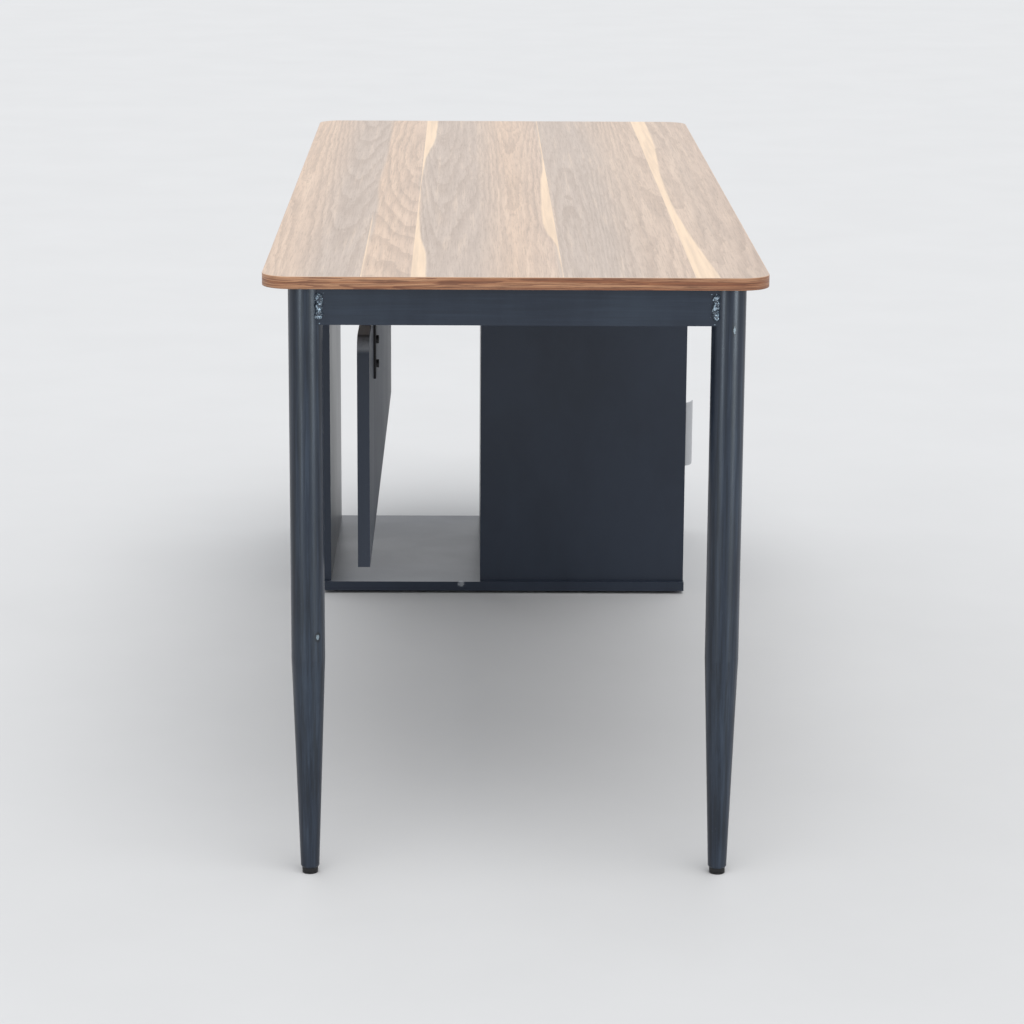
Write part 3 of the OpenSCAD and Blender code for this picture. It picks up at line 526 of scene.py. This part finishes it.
def weld_metal():
    """Painted weld beads, glossier than the tube, with pale patches painted in as highlights on the lumps.
    """
    p = Paint("weld_metal")
    # The pale bluish patches are painted highlights, standing for glints on the lumpy bead
    painted_glint = p.spread(p.noise(p.place, 270, 3, 0.62, 0.6), 0.52, 0.60)
    p.set(base_color=p.mix(painted_glint, (0.020, 0.028, 0.040), (0.27, 0.33, 0.38)),
          metallic=p.calc("MULTIPLY", painted_glint, 0.2), roughness=p.spread(painted_glint, 0, 1, 0.28, 0.42),
          specular_ior_level=0.5, normal=p.bump(p.noise(p.place, 700, 3, 0.6), 0.4 * MM, 0.7))
    return p.material


def charcoal_board():
    """Charcoal melamine: a fine pressed texture, soft clouding, pale arrises that are partly wear and
    partly a painted highlight, and one scuffed edge.
    """
    p = Paint("charcoal_board")
    pearl = p.noise(p.place, 1100, 2, 0.55)
    cloud = p.noise(p.scaled(7, 7, 4), 1, 4, 0.6)
    wipe = p.noise(p.scaled(3, 5, 2), 1, 4, 0.6, 0.3)
    speck = p.spread(p.noise(p.place, 850, 2, 0.6), 0.68, 0.74)
    tone = p.mix(p.spread(cloud, 0.3, 0.7), (0.018, 0.026, 0.043), (0.024, 0.034, 0.055))
    tone = p.mix(p.spread(wipe, 0.5, 0.75, 0.0, 0.12), tone, (0.055, 0.063, 0.074))
    tone = p.mix(p.calc("MULTIPLY", speck, 0.5), tone, (0.08, 0.09, 0.105))

    # The normal lies along no axis only on an eased arris and round the modesty panel's corner.
    #     # There the board is mixed towards pale grey: on the arrises partly as edge wear and partly as a
    #     painted
    #     # highlight, and round the modesty panel's corner as a painted highlight.
    facing = p.nodes["Texture Coordinate"].outputs["Normal"]
    most = 0.0
    for name in "XYZ":
        most = p.calc("MAXIMUM", most, p.calc("ABSOLUTE", p.axis(name, facing)))
    patchy = p.spread(p.noise(p.place, 60, 4, 0.7), 0.25, 0.6, 0.45, 1.0)
    arris_wear_and_highlight = p.calc("MULTIPLY", p.spread(most, 0.985, 0.88), patchy)
    tone = p.mix(p.calc("MULTIPLY", arris_wear_and_highlight, 0.9), tone, (0.27, 0.28, 0.30))

    low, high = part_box("cabinet_bottom")
    scuff_place = (low.x + 228 * MM, low.y, high.z - 3 * MM)
    scuff = p.spot(scuff_place, 6 * MM, 16 * MM, 500)
    tone = p.mix(p.calc("MULTIPLY", scuff, 0.8), tone, (0.33, 0.35, 0.38))
    p.set(base_color=tone, roughness=p.spread(wipe, 0.3, 0.75, 0.31, 0.38), specular_ior_level=0.4,
          normal=p.bump(pearl, 0.10 * MM, 0.6))
    return p.material


def black_steel():
    """Black-plated steel, slightly rubbed."""
    p = Paint("black_steel")
    rub = p.noise(p.place, 160, 4, 0.65)
    p.set(base_color=p.mix(p.spread(rub, 0.5, 0.8), (0.004, 0.004, 0.006), (0.02, 0.022, 0.026)),
          metallic=0.35, roughness=p.spread(rub, 0.3, 0.8, 0.42, 0.6),
          normal=p.bump(p.noise(p.place, 1500, 2, 0.5), 0.05 * MM, 0.4))
    return p.material


def brushed(name, dark, light, rough, stretch, metallic=0.9):
    """Brushed or plated metal, its fine lines stretched along one axis."""
    p = Paint(name)
    lines = p.noise(p.scaled(*stretch), 1, 4, 0.65)
    stain = p.noise(p.place, 60, 3, 0.6)
    tone = p.mix(lines, dark, light)
    tone = p.mix(p.spread(stain, 0.5, 0.8, 0.0, 0.3), tone, dark)
    p.set(base_color=tone, metallic=metallic,
          roughness=p.spread(lines, 0.3, 0.7, rough - 0.06, rough + 0.08),
          normal=p.bump(lines, 0.03 * MM, 0.4))
    return p.material


def black_plastic():
    """Moulded black plastic with a fine matt grain, dusty in places."""
    p = Paint("black_plastic")
    dust = p.noise(p.place, 220, 4, 0.7)
    dusty = p.spread(dust, 0.5, 0.8, 0.0, 0.5)
    p.set(base_color=p.mix(dusty, (0.010, 0.010, 0.011), (0.045, 0.043, 0.040)),
          roughness=p.spread(dust, 0.3, 0.8, 0.42, 0.62),
          normal=p.bump(p.cells(p.place, 1800), 0.06 * MM, 0.4))
    return p.material


def beech():
    """Plain beech dowel with short pale flecks."""
    p = Paint("beech")
    fleck = p.noise(p.scaled(900, 900, 120), 1, 3, 0.6)
    p.set(base_color=p.mix(fleck, (0.50, 0.33, 0.19), (0.72, 0.54, 0.36)), roughness=0.62,
          normal=p.bump(fleck, 0.1 * MM, 0.4))
    return p.material


LOOKS = {
    "walnut_laminate": walnut_laminate(),
    "walnut_edging": walnut_edging(),
    "frame_paint": frame_paint("frame_paint", "x", 0.3),
    "leg_paint": frame_paint("leg_paint", "z", 1.0),
    "rail_paint": frame_paint("rail_paint", "y", 0.3),
    "weld_metal": weld_metal(),
    "black_steel": black_steel(),
    "charcoal_board": charcoal_board(),
    "pull_metal": brushed("pull_metal", (0.40, 0.41, 0.425), (0.53, 0.54, 0.555), 0.38, (900, 900, 30),
                          metallic=0.75),
    "hinge_steel": brushed("hinge_steel", (0.42, 0.42, 0.43), (0.60, 0.60, 0.61), 0.30, (700, 700, 40)),
    "zinc_steel": brushed("zinc_steel", (0.46, 0.47, 0.49), (0.66, 0.67, 0.69), 0.32, (500, 500, 500)),
    "glide_plastic": black_plastic(),
    "catch_plastic": black_plastic(),
    "beech": beech(),
}


def finish(obj, look):
    """Gives an object one material in place of any that it has."""
    obj.data.materials.clear()
    obj.data.materials.append(LOOKS[look])


# ---- pieces that replace plain CAD solids ----

def edge_band():
    """The band round the board, with its two outer edges eased."""
    low, high = band_low, band_high
    centre = ((low.x + high.x) / 2, (low.y + high.y) / 2)
    half_x, half_y = (high.x - low.x) / 2, (high.y - low.y) / 2
    thick = board_low.x - band_low.x
    ease = 0.9 * thick
    steps = 5
    profile = [(thick, low.z)]
    for start_z, sign, turn in ((low.z, 1, range(steps + 1)), (high.z, -1, range(steps, -1, -1))):
        for i in turn:
            a = TAU / 4 * i / steps
            profile.append((ease * (1 - math.sin(a)), start_z + sign * ease * (1 - math.cos(a))))
    profile.append((thick, high.z))
    rings = [[(x, y, z) for x, y in rounded_rectangle(centre, half_x, half_y, BOARD_CORNER_RADIUS, inset)]
             for inset, z in profile]
    bm = bmesh.new()
    loft(bm, rings, closed=True)
    smooth(piece("edge_band", bm, "desk", "walnut_edging", "desktop_edge_band"))


def weld_bead(bm, foot, low_z, high_z, radius, seed):
    """One upright weld laid in three uneven dabs, rough all over."""
    rows, steps, dabs = 110, 36, 3
    rings = []
    for row in range(rows + 1):
        share = row / rows
        z = low_z + (high_z - low_z) * share
        ends = min(1, math.sin(math.pi * min(max(share, 0.015), 0.985)) * 3.5) ** 0.5
        dab = abs(math.sin(math.pi * (dabs * share + 0.12 * noise.noise((share * 5, seed, 0)))))
        drift = radius * 0.35 * noise.noise((seed, z * 90, 3))
        ring = []
        for i in range(steps):
            a = TAU * i / steps
            spot = Vector((math.cos(a), math.sin(a), z / radius))
            lump = noise.fractal(spot * 1.1 + Vector((seed, 0, 0)), 0.8, 2.2, 4)
            r = radius * ends * (0.66 + 0.30 * dab ** 0.6 + 0.34 * lump)
            ring.append((foot[0] + drift + r * math.cos(a), foot[1] + 0.8 * r * math.sin(a), z))
        rings.append(ring)
    loft(bm, rings)


def spatter(bm, centre, radius):
    """One small drop of spatter, slightly flat and lumpy."""
    made = bmesh.ops.create_icosphere(bm, subdivisions=3, radius=radius, matrix=Matrix.Translation(centre))
    for v in made["verts"]:
        away = v.co - centre
        lump = 1 + 0.18 * noise.noise(v.co * 900)
        v.co = centre + Vector((away.x * lump, away.y * 0.7 * lump, away.z * lump))


def weld_beads(side, radius, seed):
    """Welds on the front and the back of the crossbar's end, with spatter round the front one."""
    node = f"weld_beads_{side}"
    low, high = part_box(node)
    bar_low, bar_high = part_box("end_crossbar")
    foot_x = (low.x + high.x) / 2
    bm = bmesh.new()
    for y, shift in ((bar_low.y, 0), (bar_high.y, 11)):
        weld_bead(bm, (foot_x, y), low.z + 3 * MM, high.z - 3.5 * MM, radius, seed + shift)
    inward = 1 if side == "left" else -1
    # Each drop: how far inward in mm, how high as a share of the weld, its radius in mm
    drops = ((5.5, 0.90, 0.6), (6.5, 0.20, 0.5), (-4.0, 1.04, 0.9), (1.0, -0.02, 1.1), (8.0, 0.6, 0.4))
    for away, share, r in drops:
        z = low.z + (high.z - low.z) * share
        spatter(bm, Vector((foot_x + inward * away * MM, bar_low.y, z)), r * MM)
    obj = piece(f"welds_{side}", bm, "desk", "frame_paint", node)
    smooth(obj, 60)
    finish(obj, "weld_metal")


def foot_pad(side):
    """Levelling pad: a fluted grip above a rounded sole."""
    node = f"foot_pad_{side}"
    low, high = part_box(node)
    centre = Vector(((low.x + high.x) / 2, (low.y + high.y) / 2, low.z))
    r, h = (high.x - low.x) / 2, high.z - low.z
    grip = fluted(r, 0.5 * MM, 30)
    neck = 4.06 * MM
    sole = [(neck, 0.05 * h), (r - 2.2 * MM, 0.05 * h), (r - 1.8 * MM, 0), (r - 0.7 * MM, 0),
            (r, 0.09 * h), (r, 0.2 * h), (r - 0.8 * MM, 0.27 * h)]
    rim = [(grip, 0.36 * h), (grip, 0.86 * h), (r - 0.5 * MM, 0.95 * h), (r - 1.2 * MM, h), (neck, h)]
    bm = bmesh.new()
    turned(bm, sole + rim, Matrix.Translation(centre), steps=180)
    smooth(piece(f"levelling_pad_{side}", bm, f"{side}_foot_pad", "glide_plastic", node), 40)


def glides():
    """Low nail-on glides, with a rounded sole."""
    bm = bmesh.new()
    for points in solids("cabinet_glides"):
        place, r, h = disc_place(points, 2, -1)
        sole = [(0.9 * r, -h), (r, -h), (r, -0.45 * h), (0.95 * r, -0.18 * h), (0.85 * r, 0)]
        nail = [(0.28 * r, 0), (0.26 * r, -0.12 * h), (0.1 * r, -0.16 * h)]
        turned(bm, sole + nail, place, steps=56)
    smooth(piece("glides", bm, "desk", "glide_plastic", "cabinet_glides"))


def cams():
    """Cam locks seen in the boards' inner faces: a rim, a dished face and a cross slot."""
    bm = bmesh.new()
    visitor_inner_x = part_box("visitor_side_panel")[1].x
    near_inner_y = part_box("box_near_side")[1].y
    for points in solids("cam_locks"):
        x, y, _ = (points.min(0) + points.max(0)) / 2
        if x < visitor_inner_x:
            axis, sign = 0, 1
        elif y < near_inner_y:
            axis, sign = 1, 1
        else:
            axis, sign = 1, -1
        place, r, h = disc_place(points, axis, sign)
        slot = cross(0.55 * r, 0.10 * r)
        rim = [(0.96 * r, -h), (r, -0.95 * h), (r, -0.3 * MM), (0.96 * r, 0), (0.88 * r, 0)]
        dish = [(0.84 * r, -0.5 * MM), (0.6 * r, -0.6 * MM)]
        recess = [(slot, -0.6 * MM), (slot, -2.6 * MM), (0.05 * r, -2.8 * MM)]
        turned(bm, rim + dish + recess, place, steps=64)
    smooth(piece("cam_discs", bm, "desk", "zinc_steel", "cam_locks"), 30)


def rounded_box(bm, low, high, ease, steps=3):
    """A box with all its edges eased."""
    made = bmesh.ops.create_cube(bm, size=1)
    size, centre = Vector(high) - Vector(low), (Vector(high) + Vector(low)) / 2
    for v in made["verts"]:
        v.co = Vector(a * b for a, b in zip(v.co, size)) + centre
    edges = list({e for v in made["verts"] for e in v.link_edges})
    bmesh.ops.bevel(bm, geom=edges, offset=ease, segments=steps, affect="EDGES", profile=0.5)


def catch():
    """Magnetic catch: a moulded body with a mouth, the magnet's two pole plates in it, and two screws."""
    low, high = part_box("magnet_catch")
    mouth_x = high.x - 3 * MM
    frame_x = mouth_x - 4 * MM
    rim_x = high.x - 0.8 * MM
    lip = 2.5 * MM
    case = bmesh.new()
    rounded_box(case, low, (mouth_x, high.y, high.z), 0.9 * MM)
    for z in (low.z, high.z - lip):
        rounded_box(case, (frame_x, low.y, z), (rim_x, high.y, z + lip), 0.6 * MM)
    for y in (low.y, high.y - lip):
        rounded_box(case, (frame_x, y, low.z + 0.8 * lip),
                    (rim_x - 0.1 * MM, y + lip, high.z - 0.8 * lip), 0.3 * MM)
    smooth(piece("catch_body", case, "desk", "catch_plastic", "magnet_catch"), 30)
    metal = bmesh.new()
    middle = (low.z + high.z) / 2
    plate_gap, plate_thick, plate_inset = 4.4 * MM, 1.2 * MM, 5 * MM
    for z in (middle - plate_gap / 2, middle + plate_gap / 2):
        rounded_box(metal, (high.x - 9 * MM, low.y + plate_inset, z - plate_thick / 2),
                    (high.x, high.y - plate_inset, z + plate_thick / 2), 0.2 * MM, 2)
    head_radius, head_height = 3.4 * MM, 1.2 * MM
    downward = Matrix.Rotation(math.pi, 4, "X")
    for y in (low.y + 8 * MM, high.y - 8 * MM):
        place = Matrix.Translation((low.x + 9 * MM, y, low.z)) @ downward
        turned(metal, pan_head(head_radius, head_height), place, 36)
    smooth(piece("catch_metal", metal, "desk", "zinc_steel", "magnet_catch"), 30)


def build_pieces():
    edge_band()
    weld_beads("left", 4.8 * MM, 3)
    weld_beads("right", 4.3 * MM, 21)
    foot_pad("left")
    foot_pad("right")
    glides()
    cams()
    catch()
    groups = (
        ("board_screws", "desktop_screws", 2, "desk", "zinc_steel", pan_head),
        ("rail_plate_bolts", "rail_end_bolts", 1, "desk", "zinc_steel", hex_head),
        ("frame_to_cabinet_bolts", "cabinet_bolts", 2, "desk", "zinc_steel", hex_head),
        ("bracket_bolts", "strap_bolts", 0, "desk", "black_steel", cap_head),
        ("case_screws", "cabinet_screws", 2, "desk", "zinc_steel", flat_head),
        ("pull_screws", "door_pull_screws", 0, "door", "zinc_steel", pan_head),
        ("case_leaf_screws", "hinge_case_screws", 1, "desk", "zinc_steel", flat_head),
        ("door_leaf_screws", "hinge_door_screws", 1, "door", "zinc_steel", flat_head),
    )
    for group in groups:
        fasteners(*group)


build_pieces()

# ---- CAD nodes that stay: finish and eased edges ----

SLOT_OF = {row["node"]: row["material_slot"] for row in frame["record"]["subparts"]}
for name, obj in frame["nodes"].items():
    if not obj.hide_render:
        finish(obj, SLOT_OF[name])

for side in ("left", "right"):
    finish(frame["nodes"][f"leg_tube_{side}"], "leg_paint")
    finish(frame["nodes"][f"side_rail_{side}"], "rail_paint")

BOARDS = ("cabinet_bottom", "cabinet_top", "visitor_side_panel", "box_near_side", "box_far_side",
          "box_back", "box_divider", "adjustable_shelf", "door", "modesty_panel")
TUBES = ("end_crossbar", "side_rail_left", "side_rail_right", "mid_brace", "far_crossbar")
PLATES = ("strap_bracket_near", "strap_bracket_far", "fixing_plates", "rail_end_plates", "rail_end_caps",
          "leg_top_plate_left", "leg_top_plate_right", "catch_strike", "door_pull")
for names, width, segments in ((BOARDS, BOARD_EDGE, 2), (TUBES, TUBE_EDGE, 3), (PLATES, PLATE_EDGE, 2)):
    for name in names:
        eased(name, width, segments)


# ---- studio ----

def floor():
    """Plain pale floor, wide enough to fill the picture behind the desk."""
    p = Paint("floor")
    mottle = p.noise(p.place, 3, 4, 0.6)
    p.set(base_color=p.mix(mottle, (0.58, 0.58, 0.58), (0.62, 0.62, 0.62)), roughness=1.0,
          specular_ior_level=0.0)
    half = 60.0
    mesh = bpy.data.meshes.new("floor")
    mesh.from_pydata([(-half, -half, 0), (half, -half, 0), (half, half, 0), (-half, half, 0)], [],
                     [(0, 1, 2, 3)])
    mesh.materials.append(p.material)
    obj = bpy.data.objects.new("floor", mesh)
    bpy.context.scene.collection.objects.link(obj)


def place_light(name, light, place, target):
    """Hangs a light, aimed at the target and unseen by the camera."""
    obj = bpy.data.objects.new(name, light)
    bpy.context.scene.collection.objects.link(obj)
    obj.location = place
    obj.rotation_euler = (Vector(target) - Vector(place)).to_track_quat("-Z", "Y").to_euler()
    obj.visible_camera = False
    return obj


def softbox(name, place, target, size, watts, colour, lit):
    """A rectangular soft light that falls only on the objects of the collection lit."""
    light = bpy.data.lights.new(name, "AREA")
    light.shape, light.size, light.size_y = "RECTANGLE", *size
    light.energy, light.color = watts, colour
    place_light(name, light, place, target).light_linking.receiver_collection = lit


def sky():
    """A pale studio all round: brightest beyond the cabinet end, and a little dimmer to the two sides."""
    world = bpy.data.worlds.new("studio")
    bpy.context.scene.world = world
    world.use_nodes = True
    nodes, links = world.node_tree.nodes, world.node_tree.links
    parts = nodes.new("ShaderNodeSeparateXYZ")
    links.new(nodes.new("ShaderNodeTexCoord").outputs["Generated"], parts.inputs[0])

    def ranged(value, low, high, to_low, to_high):
        made = nodes.new("ShaderNodeMapRange")
        made.interpolation_type = "SMOOTHSTEP"
        links.new(value, made.inputs["Value"])
        for socket, number in zip(made.inputs[1:5], (low, high, to_low, to_high)):
            socket.default_value = number
        return made.outputs[0]

    aside = nodes.new("ShaderNodeMath")
    aside.operation = "ABSOLUTE"
    links.new(parts.outputs["X"], aside.inputs[0])
    product = nodes.new("ShaderNodeMath")
    product.operation = "MULTIPLY"
    links.new(ranged(aside.outputs[0], 0.3, 0.95, 1.0, 0.88), product.inputs[0])
    links.new(ranged(parts.outputs["Y"], -0.5, 0.8, 0.78, 1.1), product.inputs[1])
    fill = nodes["Background"]
    fill.inputs["Color"].default_value = (0.95, 0.97, 1.0, 1)
    links.new(product.outputs[0], fill.inputs["Strength"])


def studio_lights():
    """A wide sun from above the leg end, and two strips that draw highlights on the painted steel."""
    sky()
    key = bpy.data.lights.new("key", "SUN")
    key.energy, key.angle = 1.7, math.radians(50)
    place_light("key", key, (0.4, -1.6, 4), (0, 0, 0))
    painted = [LOOKS[look] for look in ("frame_paint", "leg_paint", "rail_paint", "weld_metal")]
    steel = bpy.data.collections.new("strip_lit")
    for obj in bpy.context.scene.objects:
        if obj.type == "MESH" and obj.data.materials and obj.data.materials[0] in painted:
            steel.objects.link(obj)
    aim, cool = (0, -0.4, 0.5), (0.80, 0.92, 1.0)
    softbox("left_strip", (-2.27, -4.1, 1.0), aim, (0.6, 2.0), 80, cool, steel)
    softbox("right_strip", (2.9, -3.6, 1.0), aim, (1.2, 2.0), 130, cool, steel)


def main_camera():
    """The photograph's viewpoint: beyond the leg end, above the board, looking along the desk."""
    pitch, yaw, roll = math.radians(13.4), math.radians(0.81), math.radians(0.35)
    forward = Vector((math.sin(yaw) * math.cos(pitch), math.cos(yaw) * math.cos(pitch), -math.sin(pitch)))
    level = Vector((math.cos(yaw), -math.sin(yaw), 0))
    upright = level.cross(forward)
    right = math.cos(roll) * level + math.sin(roll) * upright
    up = math.cos(roll) * upright - math.sin(roll) * level
    data = bpy.data.cameras.new("camera")
    data.sensor_width, data.lens = 36, 113.9
    obj = bpy.data.objects.new("camera", data)
    bpy.context.scene.collection.objects.link(obj)
    turn = Matrix((right, up, -forward)).transposed().to_4x4()
    obj.matrix_world = Matrix.Translation((-0.062, -4.679, 1.362)) @ turn
    bpy.context.scene.camera = obj


floor()
studio_lights()
main_camera()
bpy.context.scene.view_settings.view_transform = "Standard"
